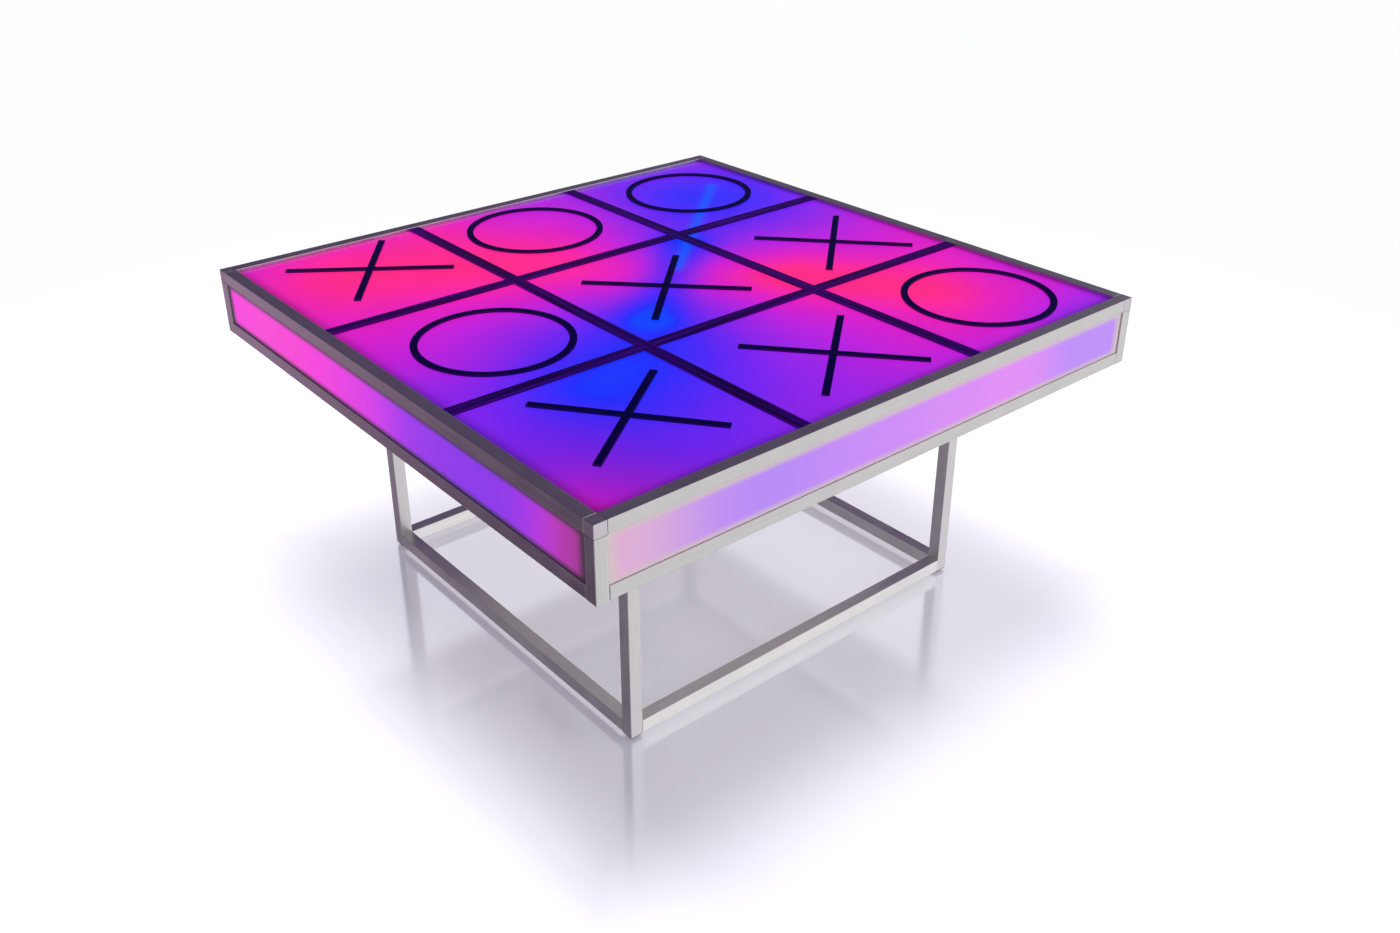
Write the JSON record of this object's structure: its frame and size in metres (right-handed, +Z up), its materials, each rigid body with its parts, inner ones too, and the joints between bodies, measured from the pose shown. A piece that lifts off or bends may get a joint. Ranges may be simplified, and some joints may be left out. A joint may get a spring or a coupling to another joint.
{
  "type": "light-up coffee table",
  "caption": "Low square coffee table: a glowing panelled light box with a noughts and crosses grid and loose playing pieces on top, on an open square tube base.",
  "frame": {"origin": "on the floor under the middle of the table", "axes": "+Z up, -Y the front side, which faces the picture's lower right, and -X the left side, which faces its lower left"},
  "size_m": [0.914, 0.914, 0.457],
  "materials": {
    "box_frame": "satin, brushed along each tube",
    "corner_connectors": "satin",
    "base_frame": "brushed along each tube",
    "top_panel": "opal acrylic, lit from inside in pink, violet and blue, glossy",
    "side_panels": "opal acrylic, lit from inside, frosted",
    "grid_bars": "black acrylic, polished",
    "game_pieces": "black acrylic, polished",
    "floor_board": "white faced board",
    "foot_glides": "moulded, matt",
    "led_strips": "white flexible circuit strip",
    "control_housing": "white moulded, fine grain",
    "battery_pack": "blue shrink sleeve",
    "led_controller": "white moulded",
    "switch_and_socket": "black moulded, satin"
  },
  "bodies": {
    "table": {"top_rail_front": "box_frame", "top_rail_right": "box_frame", "top_rail_back": "box_frame", "top_rail_left": "box_frame", "lower_rail_front": "box_frame", "lower_rail_right": "box_frame", "lower_rail_back": "box_frame", "lower_rail_left": "box_frame", "corner_post_front_left": "box_frame", "corner_post_front_right": "box_frame", "corner_post_back_right": "box_frame", "corner_post_back_left": "box_frame", "corner_connector_front_left": "corner_connectors", "corner_connector_front_right": "corner_connectors", "corner_connector_back_right": "corner_connectors", "corner_connector_back_left": "corner_connectors", "side_panel_front": "side_panels", "side_panel_right": "side_panels", "side_panel_back": "side_panels", "side_panel_left": "side_panels", "top_panel": "top_panel", "floor_board": "floor_board", "grid_bar_front": "grid_bars", "grid_bar_back": "grid_bars", "grid_bar_right": "grid_bars", "grid_bar_left": "grid_bars", "leg_front_left": "base_frame", "leg_front_right": "base_frame", "leg_back_right": "base_frame", "leg_back_left": "base_frame", "base_lower_rail_front": "base_frame", "base_lower_rail_right": "base_frame", "base_lower_rail_back": "base_frame", "base_lower_rail_left": "base_frame", "base_upper_rail_front": "base_frame", "base_upper_rail_right": "base_frame", "base_upper_rail_back": "base_frame", "base_upper_rail_left": "base_frame", "foot_glide_front_left": "foot_glides", "foot_glide_front_right": "foot_glides", "foot_glide_back_right": "foot_glides", "foot_glide_back_left": "foot_glides", "led_strip_front_left_to_back_right": "led_strips", "led_strip_back_left_to_front_right": "led_strips", "control_housing": "control_housing", "battery_pack": "battery_pack", "led_controller": "led_controller", "charging_socket": "switch_and_socket", "switch_body": "switch_and_socket"},
    "rocker": {"switch_rocker": "switch_and_socket"},
    "loose_cross_front_left": {"cross_front_left": "game_pieces"},
    "loose_cross_front_middle": {"cross_front_middle": "game_pieces"},
    "loose_nought_front_right": {"nought_front_right": "game_pieces"},
    "loose_nought_middle_left": {"nought_middle_left": "game_pieces"},
    "loose_cross_centre": {"cross_centre": "game_pieces"},
    "loose_cross_middle_right": {"cross_middle_right": "game_pieces"},
    "loose_cross_back_left": {"cross_back_left": "game_pieces"},
    "loose_nought_back_middle": {"nought_back_middle": "game_pieces"},
    "loose_nought_back_right": {"nought_back_right": "game_pieces"}
  },
  "joints": [
    {"name": "rocker_press", "type": "hinge", "parent": "table", "child": "rocker", "pos_m": [0.049, 0.2247, 0.3431], "axis": [0, 0, 1], "range_deg": [0, 16]},
    {"name": "lift_cross_front_left", "type": "slide", "parent": "table", "child": "loose_cross_front_left", "axis": [0, 0, 1], "range_m": [0, 0.05]},
    {"name": "lift_cross_front_middle", "type": "slide", "parent": "table", "child": "loose_cross_front_middle", "axis": [0, 0, 1], "range_m": [0, 0.05]},
    {"name": "lift_nought_front_right", "type": "slide", "parent": "table", "child": "loose_nought_front_right", "axis": [0, 0, 1], "range_m": [0, 0.05]},
    {"name": "lift_nought_middle_left", "type": "slide", "parent": "table", "child": "loose_nought_middle_left", "axis": [0, 0, 1], "range_m": [0, 0.05]},
    {"name": "lift_cross_centre", "type": "slide", "parent": "table", "child": "loose_cross_centre", "axis": [0, 0, 1], "range_m": [0, 0.05]},
    {"name": "lift_cross_middle_right", "type": "slide", "parent": "table", "child": "loose_cross_middle_right", "axis": [0, 0, 1], "range_m": [0, 0.05]},
    {"name": "lift_cross_back_left", "type": "slide", "parent": "table", "child": "loose_cross_back_left", "axis": [0, 0, 1], "range_m": [0, 0.05]},
    {"name": "lift_nought_back_middle", "type": "slide", "parent": "table", "child": "loose_nought_back_middle", "axis": [0, 0, 1], "range_m": [0, 0.05]},
    {"name": "lift_nought_back_right", "type": "slide", "parent": "table", "child": "loose_nought_back_right", "axis": [0, 0, 1], "range_m": [0, 0.05]}
  ]
}
